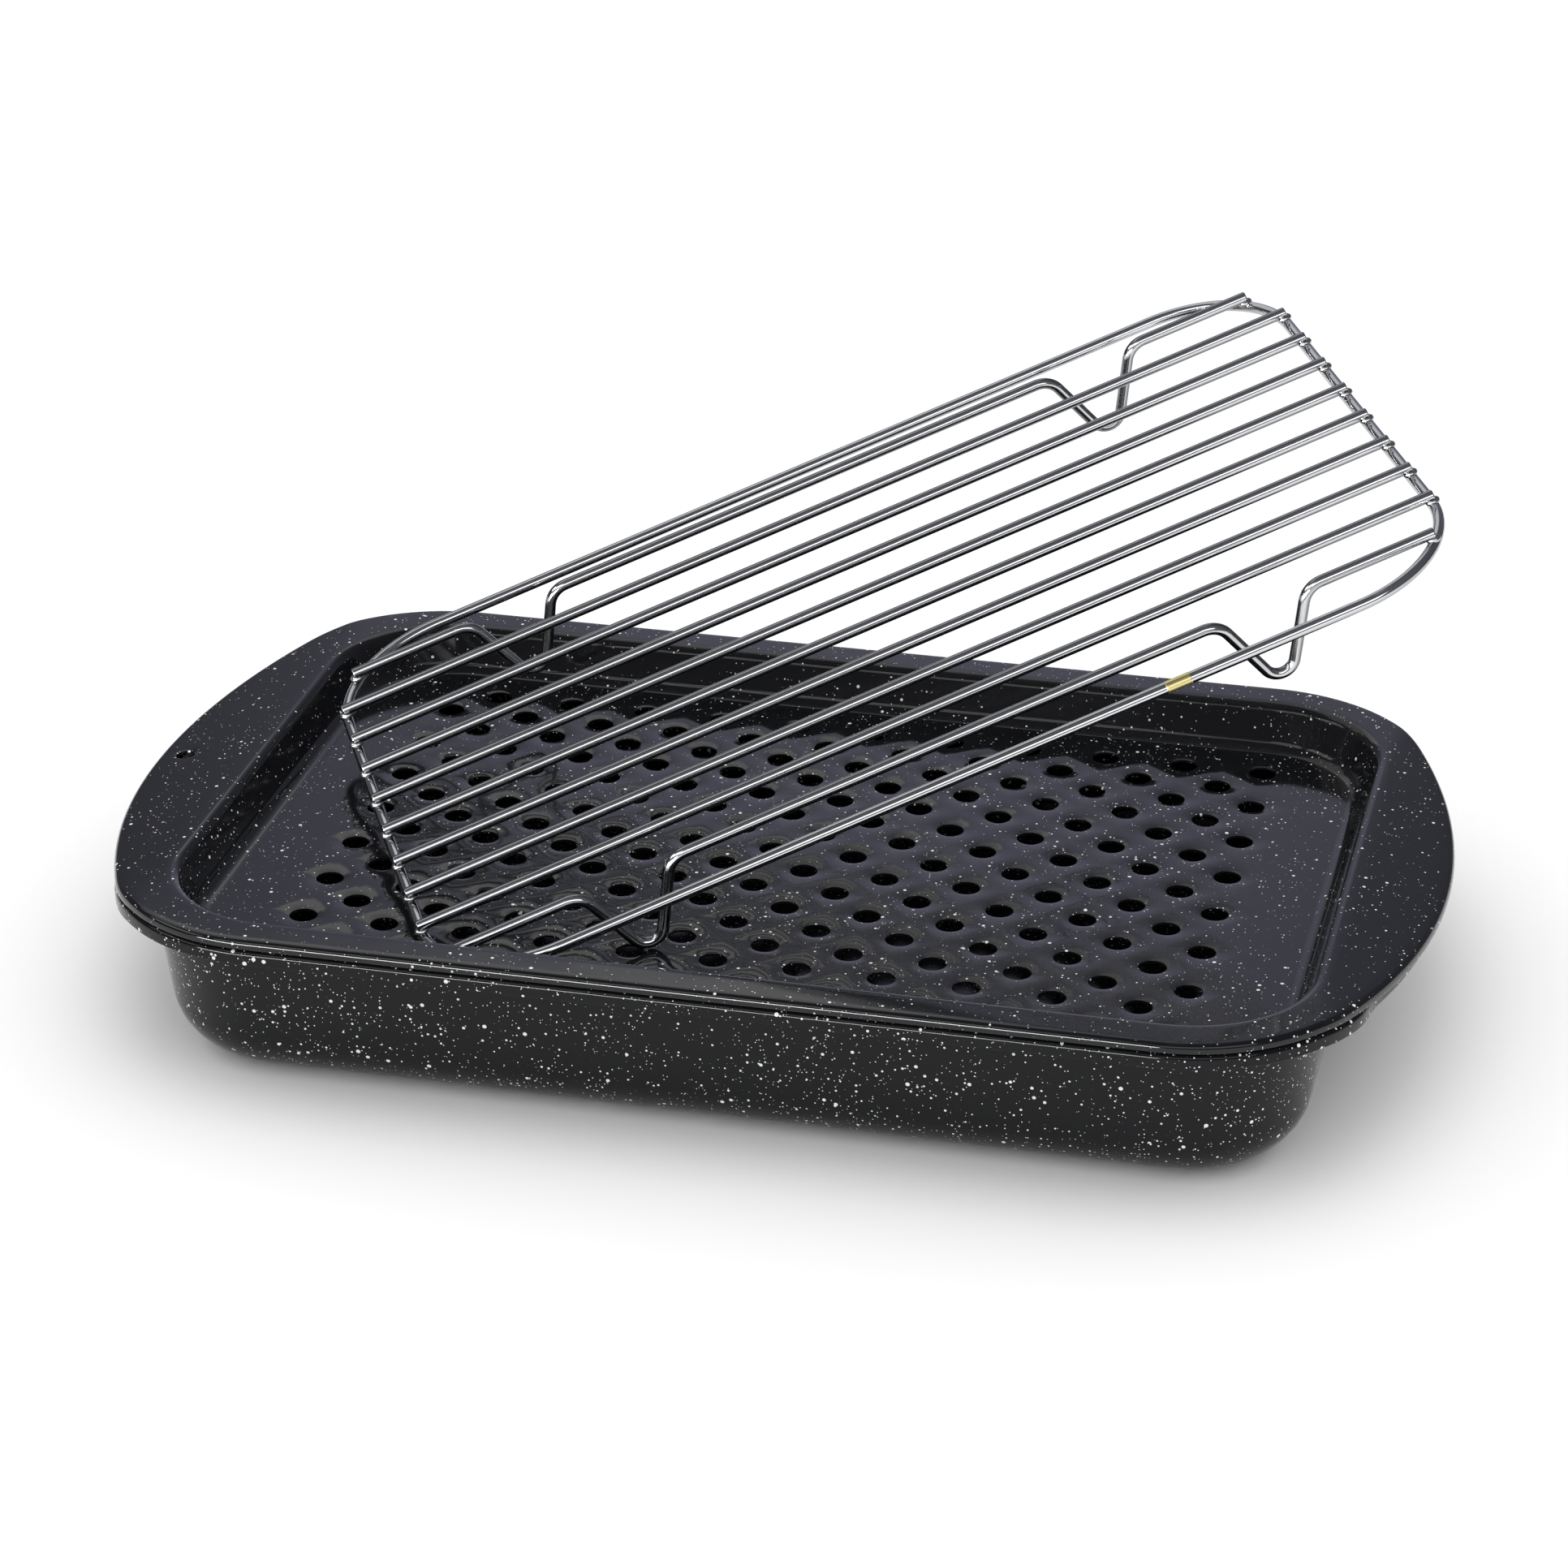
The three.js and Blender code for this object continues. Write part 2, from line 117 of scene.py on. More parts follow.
# %% Sizes of the holes, with each ring's share of the radius and its drop
HOLE_RADIUS = 4.6 * MM
HOLE_PITCH = 27.6 * MM
HOLE_COLUMNS = 22
HOLE_ROWS = 8
HOLE_RINGS = ((1.5, 0.22 * MM), (1.02, 0.58 * MM), (1.0, 1.35 * MM))
FLOOR_MARGIN = 0.8 * MM
HANG_HOLE_RADIUS = 3.2 * MM
HANG_HOLE_X = -214.7 * MM
HANG_HOLE_PATCH = 2.3 * HANG_HOLE_RADIUS
HANG_HOLE_RINGS = ((1.25, 0.0), (1.06, 0.25 * MM), (1.0, 0.9 * MM))
print("drain holes:", HOLE_COLUMNS // 2 * (2 * HOLE_ROWS - 1))

# %% Steps that the outlines and bends are divided into
END_STEPS = 24
CORNER_STEPS = 18
SIDE_STEPS = 14
BEND_STEPS = 5
FLOOR_STEPS = 8
LIP_STEPS = 4
BEAD_STEPS = 3
FLANGE_ROWS = 6
HOLE_SIDES = 16
HANG_HOLE_SIDES = 20
WIRE_SIDES = 24
SHARP_FROM = math.radians(50)

# %% [markdown]
# ## A pen for outlines and wires
# Sheet outlines and bent wires are both drawn by pulling something along: a point, or a round section.
# Blender's spin operator does both moves. With a step it pulls straight, and with an angle it bends about
# a centre, just as wire is bent round a former.


# %% The pen
class Pen:
    """Pulls a vertex or a ring of edges along straight runs and bends."""

    def __init__(self, bm, geom, at, heading):
        self.bm = bm
        self.geom = geom
        self.at = Vector(at)
        self.heading = Vector(heading).normalized()

    def _spin(self, **how):
        made = bmesh.ops.spin(self.bm, geom=self.geom, use_duplicate=False, **how)["geom_last"]
        kind = type(self.geom[0])
        self.geom = [g for g in made if isinstance(g, kind)]

    def turn(self, heading):
        self.heading = Vector(heading).normalized()
        return self

    def run(self, length, steps=1):
        step = self.heading * (length / steps)
        self._spin(cent=self.at, axis=UP, dvec=step, angle=0, steps=steps)
        self.at = self.at + self.heading * length
        return self

    def bend(self, degrees, radius, axis, steps):
        angle = math.radians(degrees)
        centre = self.at + axis.cross(self.heading) * radius
        self._spin(cent=centre, axis=axis, angle=angle, steps=steps)
        turn = Matrix.Rotation(angle, 3, axis)
        self.at = centre + turn @ (self.at - centre)
        self.heading = turn @ self.heading
        return self


# %% Rings of edges
def closed_ring(bm, start, draw):
    """Draw a quarter of an outline with a pen, and mirror it into a closed ring of edges."""
    before = set(bm.edges)
    draw(Pen(bm, [bm.verts.new(start)], start, (0, 1, 0)))
    for axis in "XY":
        own = [e for e in bm.edges if e not in before]
        bmesh.ops.mirror(bm, geom=ring_verts(own) + own, matrix=Matrix(), merge_dist=TOUCH, axis=axis)
    return [e for e in bm.edges if e not in before]


def round_ring(bm, sides, radius, place):
    made = bmesh.ops.create_circle(bm, segments=sides, radius=radius, matrix=place)
    return list({e for v in made["verts"] for e in v.link_edges})


def ring_verts(edges):
    return list({v for e in edges for v in e.verts})


def open_edges(bm):
    return [e for e in bm.edges if e.is_boundary]


# %% [markdown]
# ## Pressing a sheet
# A pan starts as a flat blank. The rim is held and a punch draws the middle down, so the wall gets a bend
# at the top, a straight lean and a larger round at the floor. Here the flat middle face is inset and
# lowered in small steps along that section.


# %% Section of a pressed wall, and the drawing of a blank
def wall_section(form):
    """Inset and depth of each ring, from the rim's edge down to the flat floor."""
    turn = math.radians(90 - form["lean"])
    bend, floor, depth = form["rim_bend"], form["floor_round"], form["depth"]
    rise = (bend + floor) * (1 - math.cos(turn))
    straight = (depth - rise) * math.tan(math.radians(form["lean"]))
    run = (bend + floor) * math.sin(turn) + straight
    steps = []
    for k in range(1, BEND_STEPS + 1):
        a = turn * k / BEND_STEPS
        steps.append((bend * math.sin(a), bend * (1 - math.cos(a))))
    for k in range(FLOOR_STEPS + 1):
        a = turn * (1 - k / FLOOR_STEPS)
        steps.append((run - floor * math.sin(a), depth - floor * (1 - math.cos(a))))
    return steps


def draw_down(bm, middle, steps):
    """Push the flat middle of a blank down, ring by ring."""
    inset, depth = 0.0, 0.0
    for next_inset, next_depth in steps:
        bmesh.ops.inset_region(
            bm,
            faces=[middle],
            thickness=next_inset - inset,
            depth=depth - next_depth,
            use_even_offset=True,
        )
        inset, depth = next_inset, next_depth


def handle_drop(x):
    return HANDLE_DROOP * max(abs(x) - HANDLE_START, 0) / HANDLE_REACH


def ease(t):
    t = min(max(t, 0), 1)
    return t * t * (3 - 2 * t)


# %% The two outlines of a blank: the top of its wall, and its rim with arched handles
def wall_outline(bm, form):
    corner = form["corner"]
    end = form["half_width"] - corner
    side = form["half_length"] - corner

    def quarter(pen):
        pen.run(end, END_STEPS).bend(90, corner, UP, CORNER_STEPS).run(side, SIDE_STEPS)

    return closed_ring(bm, (form["half_length"], 0, form["top"]), quarter)


def rim_outline(bm, form):
    """An arch over each end runs into the round corners, and the handles droop."""
    inset = form["rim_inset"]
    corner_y = RIM_HALF_WIDTH - RIM_CORNER
    arch_x = RIM_HALF_LENGTH - HANDLE_ARCH
    corner_x = arch_x + math.sqrt((HANDLE_ARCH - RIM_CORNER) ** 2 - corner_y**2)
    meet = math.degrees(math.atan2(corner_y, corner_x - arch_x))

    def quarter(pen):
        pen.bend(meet, HANDLE_ARCH - inset, UP, END_STEPS)
        pen.bend(90 - meet, RIM_CORNER - inset, UP, CORNER_STEPS)
        pen.run(corner_x, SIDE_STEPS)

    rim = closed_ring(bm, (RIM_HALF_LENGTH - inset, 0, form["top"]), quarter)
    for v in ring_verts(rim):
        held = ease((abs(v.co.y) - DRAW_FROM) / (DRAW_TO - DRAW_FROM))
        if abs(v.co.x) > corner_x:
            v.co.x -= math.copysign(form["handle_draw"] * (1 - held), v.co.x)
        v.co.x -= RIM_SHIFT
        v.co.z -= handle_drop(v.co.x)
    return rim


# %% A blank with its flange, lip and drawn wall
def round_edges(bm, edges, offset, segments):
    bmesh.ops.bevel(
        bm, geom=edges, offset=offset, segments=segments, profile=0.5, affect="EDGES", material=-1
    )


def pressed_blank(form):
    """The upper side of a pressing, as one open sheet, and the face of its flat floor."""
    bm = bmesh.new()
    wall = wall_outline(bm, form)
    rim = rim_outline(bm, form)
    bmesh.ops.bridge_loops(bm, edges=wall + rim)
    middle = bmesh.ops.contextual_create(bm, geom=wall)["faces"][0]
    made = bmesh.ops.extrude_edge_only(bm, edges=rim)["geom"]
    lip = [g for g in made if isinstance(g, bmesh.types.BMVert)]
    bmesh.ops.translate(bm, verts=lip, vec=(0, 0, -form["lip"]))
    round_edges(bm, rim, LIP_BEND, LIP_STEPS)
    ring = set(middle.edges)
    across = [e for v in middle.verts for e in v.link_edges if e not in ring]
    bmesh.ops.subdivide_edges(bm, edges=across, cuts=FLANGE_ROWS - 1, use_grid_fill=True)
    bmesh.ops.recalc_face_normals(bm, faces=bm.faces[:])
    if middle.normal.z < 0:
        bmesh.ops.reverse_faces(bm, faces=bm.faces[:])
    draw_down(bm, middle, wall_section(form))
    return bm, middle


# %% [markdown]
# ## From a surface to a sheet
# The upper side gets its thickness below, and the cut edge of the lip is rounded, because enamel draws
# back from a sharp edge and leaves a soft bead that catches the light.


# %% Thickness and the beaded lip
def thicken(bm, lip_edges):
    """Give the sheet its thickness, and round both sides of the lip's cut edge."""
    old = set(bm.faces)
    bmesh.ops.solidify(bm, geom=bm.faces[:], thickness=SHEET)
    cut = {f for e in lip_edges for f in e.link_faces if f not in old}
    sides = [e for f in cut for e in f.edges if len([g for g in e.link_faces if g in cut]) == 1]
    round_edges(bm, sides, LIP_BEAD, BEAD_STEPS)
    bmesh.ops.recalc_face_normals(bm, faces=bm.faces[:])


# %% [markdown]
# ## From a mesh to a piece of the set
# Every piece keeps its place in its mesh, with the object itself at the origin, so it can ride on a CAD
# body and move with it. Reflections show the least tilt of a surface. Weighted normals let the large flat
# faces lead and leave the bending of light to the rounds between them.


# %% A finished piece
def make_piece(name, bm, material, body, nodes):
    """Turn a bmesh into an object that rides on a body and stands for its CAD nodes."""
    mesh = bpy.data.meshes.new(name)
    bm.to_mesh(mesh)
    bm.free()
    mesh.materials.append(material)
    mesh.shade_smooth()
    mesh.set_sharp_from_angle(angle=SHARP_FROM)
    piece = bpy.data.objects.new(name, mesh)
    bpy.context.collection.objects.link(piece)
    weights = piece.modifiers.new("flat_faces_lead", "WEIGHTED_NORMAL")
    weights.keep_sharp = True
    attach(piece, body)
    if nodes:
        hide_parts(*nodes)
    size = [round(c / MM, 1) for c in piece.dimensions]
    print(name, "faces:", len(mesh.polygons), "size in mm:", size)


# %% [markdown]
# ## Finishes
# All finishes are built from nodes on object coordinates, so they stay on the piece when it moves. A few
# short helpers keep the node trees readable: one adds a node and fills its inputs, and the others name
# the steps that come back in every tree.


# %% Node helpers
def add(tree, kind, settings=None, values=None):
    """Add a node, set its properties, and fill its inputs with constants or links."""
    node = tree.nodes.new(kind)
    for name, value in (settings or {}).items():
        setattr(node, name, value)
    for key, value in (values or {}).items():
        if isinstance(value, bpy.types.NodeSocket):
            tree.links.new(value, node.inputs[key])
        else:
            node.inputs[key].default_value = value
    return node


def maths(tree, operation, a, b=0.0):
    return add(tree, "ShaderNodeMath", {"operation": operation}, {0: a, 1: b}).outputs[0]


def smooth(tree, value, start, end, first=0.0, last=1.0):
    """A soft step from one level to another."""
    levels = {"From Min": start, "From Max": end, "To Min": first, "To Max": last}
    step = {"interpolation_type": "SMOOTHSTEP"}
    return add(tree, "ShaderNodeMapRange", step, {"Value": value, **levels}).outputs["Result"]


def noise(tree, place, scale, detail):
    """Noise about zero."""
    values = {"Vector": place, "Scale": scale, "Detail": detail}
    return maths(tree, "SUBTRACT", add(tree, "ShaderNodeTexNoise", None, values).outputs["Fac"], 0.5)


def blend(tree, factor, first, last):
    """One colour where the factor is 0, the other where it is 1."""
    values = {"Factor": factor, 6: (*first, 1), 7: (*last, 1)}
    return add(tree, "ShaderNodeMix", {"data_type": "RGBA"}, values).outputs[2]


def part(tree, vector, axis):
    return add(tree, "ShaderNodeSeparateXYZ", None, {"Vector": vector}).outputs[axis]


def new_material(name, kind="ShaderNodeBsdfPrincipled"):
    """A material with one shader, its tree, and the place on the object."""
    material = bpy.data.materials.new(name)
    material.use_nodes = True
    tree = material.node_tree
    tree.nodes.clear()
    surface = add(tree, kind)
    add(tree, "ShaderNodeOutputMaterial", None, {"Surface": surface.outputs[0]})
    place = add(tree, "ShaderNodeTexCoord").outputs["Object"]
    return material, tree, surface, place


# %% [markdown]
# ## Speckled enamel
# Enamel is glass that is melted onto steel: a black coat, with drops of white flicked over it before
# firing. The drops differ in size and lie in loose clusters. Voronoi cells give round dots: a dot is
# white where the cell's centre is near, its size comes from the cell's own random colour, and some cells
# stay empty. The fired glass is never quite flat, and a faint wave in it makes mirrored lines wander.

# %% Levels of the enamel, with each drop class's cells per metre, largest radius and share of cells
DROP_CLASSES = ((300.0, 0.85 * MM, 0.32), (460.0, 0.48 * MM, 0.68), (760.0, 0.27 * MM, 0.6))
DROP_SIZES = 0.6
DROP_EDGE = 9.0
CLUSTER_SCALE, CLUSTER_DETAIL, CLUSTER_DEPTH = 42.0, 2.0, 1.4
# Painted shade on a low floor: how much it dims the drops, and the upward facing over which it sets in
FLOOR_SHADE_SHARE, FLOOR_SHADE_FROM, FLOOR_SHADE_TO = 0.8, 0.3, 0.8
BLACK_GLASS = (0.006, 0.0064, 0.0075)
GLASS_ROUGHNESS, GLASS_IOR = 0.09, 1.45
WAVE_SCALE, WAVE_DETAIL, WAVE_STRENGTH, WAVE_DEPTH = 55.0, 1.0, 0.2, 0.4 * MM


# %% Enamel
def dots(tree, place, per_metre, radius, share, cluster):
    """White dots of one size class: 1 inside a dot, 0 between the dots."""
    cells = add(tree, "ShaderNodeTexVoronoi", {"feature": "F1"}, {"Vector": place, "Scale": per_metre})
    random = add(tree, "ShaderNodeSeparateColor", None, {"Color": cells.outputs["Color"]})
    largest = radius * per_metre
    size = maths(tree, "MULTIPLY", maths(tree, "POWER", random.outputs["Red"], DROP_SIZES), largest)
    near = maths(tree, "SUBTRACT", size, cells.outputs["Distance"])
    soft = maths(tree, "MULTIPLY", near, DROP_EDGE / largest)
    inside = maths(tree, "MINIMUM", maths(tree, "MAXIMUM", soft, 0.0), 1.0)
    level = maths(tree, "ADD", random.outputs["Green"], cluster)
    kept = maths(tree, "GREATER_THAN", level, 1.0 - share)
    return maths(tree, "MULTIPLY", inside, kept)


def enamel(name, share, size, white, gloss, painted_shade_below):
    """Black glass with white drops in three size classes, dimmed by painted shade on a floor below a
    height.
    """
    material, tree, surface, place = new_material(name)
    cluster = maths(tree, "MULTIPLY", noise(tree, place, CLUSTER_SCALE, CLUSTER_DETAIL), CLUSTER_DEPTH)
    drops = 0.0
    for per_metre, radius, filled in DROP_CLASSES:
        layer = dots(tree, place, per_metre, radius * size, filled * share, cluster)
        drops = maths(tree, "MAXIMUM", layer, drops)
    # Painted shade: drops on an upward floor below the given height are dimmed, for the shade under the
    # tray
    outward = add(tree, "ShaderNodeTexCoord").outputs["Normal"]
    low = maths(tree, "LESS_THAN", part(tree, place, "Z"), painted_shade_below)
    level = smooth(tree, part(tree, outward, "Z"), FLOOR_SHADE_FROM, FLOOR_SHADE_TO, 0.0, FLOOR_SHADE_SHARE)
    faint = maths(tree, "MULTIPLY", low, level)
    drops = maths(tree, "MULTIPLY", drops, maths(tree, "SUBTRACT", 1.0, faint))
    tree.links.new(blend(tree, drops, BLACK_GLASS, (white,) * 3), surface.inputs["Base Color"])
    wave = {
        "Strength": WAVE_STRENGTH,
        "Distance": WAVE_DEPTH,
        "Height": noise(tree, place, WAVE_SCALE, WAVE_DETAIL),
    }
    bump = add(tree, "ShaderNodeBump", None, wave)
    tree.links.new(bump.outputs["Normal"], surface.inputs["Normal"])
    surface.inputs["Roughness"].default_value = GLASS_ROUGHNESS
    surface.inputs["IOR"].default_value = GLASS_IOR
    surface.inputs["Specular IOR Level"].default_value = gloss
    return material


# %% [markdown]
# ## Plated wire
# Drawn wire is round and smooth. It mirrors the whole room across its width, and its sides get a painted
# reflection of a dark room: Layer Weight finds those sides and darkens the metal's colour there. Fine
# noise in the roughness stands for the marks that the drawing die leaves under the plating.

# %% Levels of the plating
# Painted dark sides of a wire: where they begin and where they are full, in Layer Weight's facing
PAINTED_DARK_FROM, PAINTED_DARK_TO = 0.04, 0.42
DRAWN_SCALE, DRAWN_DETAIL, DRAWN_SPREAD = 160.0, 3.0, 0.10


# %% Plating
def plated(name, colour, side, roughness):
    """Bright metal whose colour darkens towards the sides of a wire, to a share of it, as a painted
    reflection.
    """
    material, tree, surface, place = new_material(name)
    # Painted reflection: the colour darkens where the wire turns away from the view, for a dark room that
    # its sides would mirror
    facing = add(tree, "ShaderNodeLayerWeight", None, {"Blend": 0.5}).outputs["Facing"]
    aside = smooth(tree, facing, PAINTED_DARK_FROM, PAINTED_DARK_TO)
    tint = blend(tree, aside, colour, [c * side for c in colour])
    tree.links.new(tint, surface.inputs["Base Color"])
    spread = maths(tree, "MULTIPLY", noise(tree, place, DRAWN_SCALE, DRAWN_DETAIL), DRAWN_SPREAD)
    tree.links.new(maths(tree, "ADD", spread, roughness), surface.inputs["Roughness"])
    surface.inputs["Metallic"].default_value = 1.0
    return material


# %% Finishes of the set
PLATING = (0.76, 0.77, 0.79)
pan_enamel = enamel("pan_enamel", share=1.3, size=0.92, white=0.85, gloss=0.26, painted_shade_below=20 * MM)
tray_enamel = enamel("tray_enamel", share=0.75, size=0.8, white=0.78, gloss=0.5, painted_shade_below=0.0)
# Each wire's side value is the share of its colour that the painted reflection keeps at its sides
rod_wire = plated("rod_wire", PLATING, side=0.27, roughness=0.14)
frame_wire = plated("frame_wire", PLATING, side=0.6, roughness=0.12)
weld_metal = plated("weld_metal", (0.80, 0.80, 0.80), side=0.60, roughness=0.22)
brazed_metal = plated("brazed_metal", (0.94, 0.82, 0.38), side=0.80, roughness=0.34)
print("finishes:", sorted(m.name for m in bpy.data.materials))

# %% [markdown]
# ## The pan
# One deep drawing. Its handles are part of the rim: the flange widens towards both ends, droops a little
# and ends in the same lip that runs all round.

# %% Roasting pan
bm = pressed_blank(PAN)[0]
thicken(bm, open_edges(bm))
make_piece("pan", bm, pan_enamel, "pan", ["roasting_pan"])

# %% [markdown]
# ## The tray
# A shallow pressing, punched with 165 drain holes. Each punch leaves a soft dimple, so the floor is a
# quilt of diamonds with a hole in the middle of each. One diamond is made, then copied over the grid.


# %% One punched diamond of the floor
def sink_hole(bm, outer, sides, radius, rings, place):
    """Join an open outline to a round hole, by rings that sink below the sheet."""
    for share, drop in rings:
        inner = round_ring(bm, sides, radius * share, place @ Matrix.Translation((0, 0, -drop)))
        bmesh.ops.bridge_loops(bm, edges=outer + inner)
        outer = inner


def punched_cell(bm, at):
    """A diamond with a dimpled round hole, at one place of the grid."""
    half = HOLE_PITCH / 2
    quarter = HOLE_SIDES // 4
    outer = closed_ring(
        bm,
        (half, 0, 0),
        lambda pen: pen.turn((-1, 1, 0)).run(half * math.sqrt(2), quarter),
    )
    sink_hole(bm, outer, HOLE_SIDES, HOLE_RADIUS, HOLE_RINGS, Matrix())
    bmesh.ops.translate(bm, verts=bm.verts[:], vec=at)


def hole_block(columns, rows, z):
    """Copy one diamond along a column, and the column along the floor."""
    bm = bmesh.new()
    half = Vector((columns - 1, rows - 1, 0)) * HOLE_PITCH / 2
    punched_cell(bm, Vector((0, 0, z)) - half)
    for count, along in ((rows, (0, HOLE_PITCH, 0)), (columns, (HOLE_PITCH, 0, 0))):
        geom = bm.verts[:] + bm.edges[:] + bm.faces[:]
        bmesh.ops.spin(bm, geom=geom, dvec=along, angle=0, steps=count - 1, use_duplicate=True)
    print("drain holes in this block:", columns * rows)
    return bm


# %% Perforated floor
def punch_floor(bm, middle):
    """Replace the flat floor by punched diamonds and a plain margin round them."""
    z = middle.verts[0].co.z
    limit = max(v.co.y for v in middle.verts) - FLOOR_MARGIN
    bmesh.ops.delete(bm, geom=[middle], context="FACES_ONLY")
    for rows, shift in ((HOLE_ROWS - 1, -HOLE_PITCH / 4), (HOLE_ROWS, HOLE_PITCH / 4)):
        block = hole_block(HOLE_COLUMNS // 2, rows, z)
        bmesh.ops.translate(block, verts=block.verts[:], vec=(shift, 0, 0))
        for v in block.verts:
            v.co.y = max(min(v.co.y, limit), -limit)
        mesh = bpy.data.meshes.new("hole_block")
        block.to_mesh(mesh)
        block.free()
        bm.from_mesh(mesh)
        bpy.data.meshes.remove(mesh)
    level = [v for v in bm.verts if abs(v.co.z - z) < TOUCH]
    bmesh.ops.remove_doubles(bm, verts=level, dist=2 * TOUCH)
    margin = [e for e in open_edges(bm) if all(abs(v.co.z - z) < TOUCH for v in e.verts)]
    bmesh.ops.triangle_fill(bm, edges=margin, use_beauty=True, normal=UP)


# %% [markdown]
# ## Hanging hole
# One handle has a small hole to hang the tray by. It is punched after pressing, through a flange that
# already slopes, so its rings are tilted by the same angle.


# %% Hanging hole in one handle
def punch_flange(bm, form):
    """Cut a small patch out of the flange and join its edge to a round, dimpled hole."""
    wall_x = form["half_length"]
    rim_x = RIM_HALF_LENGTH + RIM_SHIFT - form["rim_inset"] - LIP_BEND
    slope = -handle_drop(rim_x) / (rim_x - wall_x)
    z = form["top"] + slope * (-HANG_HOLE_X - wall_x)
    centre = Vector((HANG_HOLE_X, 0, z))
    patch = [f for f in bm.faces if (f.calc_center_median() - centre).length < HANG_HOLE_PATCH]
    before = set(open_edges(bm))
    bmesh.ops.delete(bm, geom=patch, context="FACES")
    outer = [e for e in open_edges(bm) if e not in before]
    place = Matrix.Translation(centre) @ Matrix.Rotation(math.atan(slope), 4, "Y")
    sink_hole(bm, outer, HANG_HOLE_SIDES, HANG_HOLE_RADIUS, HANG_HOLE_RINGS, place)


# %% Perforated tray
bm, floor_face = pressed_blank(TRAY)
lip_edges = open_edges(bm)
punch_floor(bm, floor_face)
punch_flange(bm, TRAY)
bmesh.ops.recalc_face_normals(bm, faces=bm.faces[:])
low = min(bm.faces, key=lambda f: f.calc_center_median().length)
if low.normal.z < 0:
    bmesh.ops.reverse_faces(bm, faces=bm.faces[:])
thicken(bm, lip_edges)
make_piece("tray", bm, tray_enamel, "tray", ["perforated_tray"])

# %% [markdown]
# ## The rack
# A closed loop of wire carries ten rods on its end bars, and the two outer rods are bent into V feet. Each
# wire is a round section pulled along its runs and bends, and the rack is then leaned into the tray as
# the CAD model has it.

# %% Sizes of the rack, with angles in degrees
ROD = 3.9 * MM
FRAME_WIRE = 4 * MM
FRAME_HALF_LENGTH = 178.3 * MM
FRAME_HALF_WIDTH = 109.5 * MM
FRAME_CORNER = 40 * MM
FRAME_BELOW = 3.8 * MM
LOOP_GAP = MM / 20
ROD_COUNT = 10
ROD_SPACING = 20.733 * MM
ROD_OVERHANG = 0.8 * MM
END_ROUND = 0.5 * MM
FOOT_FROM_END = 60.3 * MM
FOOT_HALF_SPREAD = 15.5 * MM
FOOT_DEPTH = 26.9 * MM
SHOULDER_BEND = 8 * MM
TOE_BEND = 5.5 * MM
FRAME_CORNER_STEPS, SHOULDER_STEPS, TOE_STEPS = 24, 10, 16
RACK_TURN, RACK_TIP, RACK_ROLL = 25.7, 19.7, 5.1

# %% Place of the rack
middle_rods = [sum(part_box(n), Vector()) / 2 for n in ("rack_rod_4", "rack_rod_5")]
rack_place = (
    Matrix.Translation(sum(middle_rods, Vector()) / 2)
    @ Matrix.Rotation(math.radians(RACK_TURN), 4, "Z")
    @ Matrix.Rotation(math.radians(-RACK_TIP), 4, "Y")
    @ Matrix.Rotation(math.radians(RACK_ROLL), 4, "X")
)
print("rack's middle in mm:", [round(c / MM, 1) for c in rack_place.translation])


# %% Wire
def start_wire(bm, at, diameter):
    """A round section that faces along X, on a pen that is ready to pull it."""
    place = Matrix.Translation(at) @ Matrix.Rotation(math.radians(90), 4, "Y")
    return Pen(bm, round_ring(bm, WIRE_SIDES, diameter / 2, place), at, (1, 0, 0))


def cap_wire(bm):
    """Close both cut ends, with a small round on each as plating leaves it."""
    ends = open_edges(bm)
    bmesh.ops.holes_fill(bm, edges=ends, sides=0)
    round_edges(bm, ends, END_ROUND, BEAD_STEPS)


def make_wire(name, bm, material, nodes):
    bmesh.ops.recalc_face_normals(bm, faces=bm.faces[:])
    bmesh.ops.transform(bm, matrix=rack_place, verts=bm.verts[:])
    make_piece(name, bm, material, "rack", nodes)


# %% [markdown]
# ## Frame loop
# The loop is one length of wire, bent round a former at four corners until its ends meet in the front
# bar. The pen starts and stops at that place, and the two end sections are merged.

# %% Frame loop
BUTT_WELD_X = 75 * MM


def make_frame():
    bm = bmesh.new()
    along = FRAME_HALF_LENGTH - FRAME_CORNER
    across = FRAME_HALF_WIDTH - FRAME_CORNER
    pen = start_wire(bm, (BUTT_WELD_X, -FRAME_HALF_WIDTH, -FRAME_BELOW), FRAME_WIRE)
    pen.run(along - BUTT_WELD_X)
    for length in (2 * across, 2 * along, 2 * across, along + BUTT_WELD_X):
        pen.bend(90, FRAME_CORNER, UP, FRAME_CORNER_STEPS).run(length)
    bmesh.ops.remove_doubles(bm, verts=bm.verts[:], dist=LOOP_GAP)
    make_wire("rack_loop", bm, frame_wire, ["rack_frame"])


make_frame()

# %% [markdown]
# ## Rods and feet
# The rods are cut to end just past the loop, so those near its round corners are shorter. A foot is bent
# in a press: a shoulder, a leg down, the toe, a leg up and the other shoulder. The sharp corner that the
# toe is rounded from lies deeper than the foot, and a short formula finds it.


# %% Places along the rods and feet
def rod_y(k):
    return (k - (ROD_COUNT - 1) / 2) * ROD_SPACING


def rod_reach(y):
    past = max(abs(y) - (FRAME_HALF_WIDTH - FRAME_CORNER), 0)
    return FRAME_HALF_LENGTH - FRAME_CORNER + math.sqrt(FRAME_CORNER**2 - past**2) + ROD_OVERHANG


def foot_corner_depth():
    """Depth of the sharp corner whose rounded bend reaches the foot's depth."""
    ratio = TOE_BEND / FOOT_HALF_SPREAD
    rest = 1 - ratio**2
    centre = FOOT_DEPTH - TOE_BEND
    return (centre + ratio * math.sqrt(centre**2 + rest * FOOT_HALF_SPREAD**2)) / rest


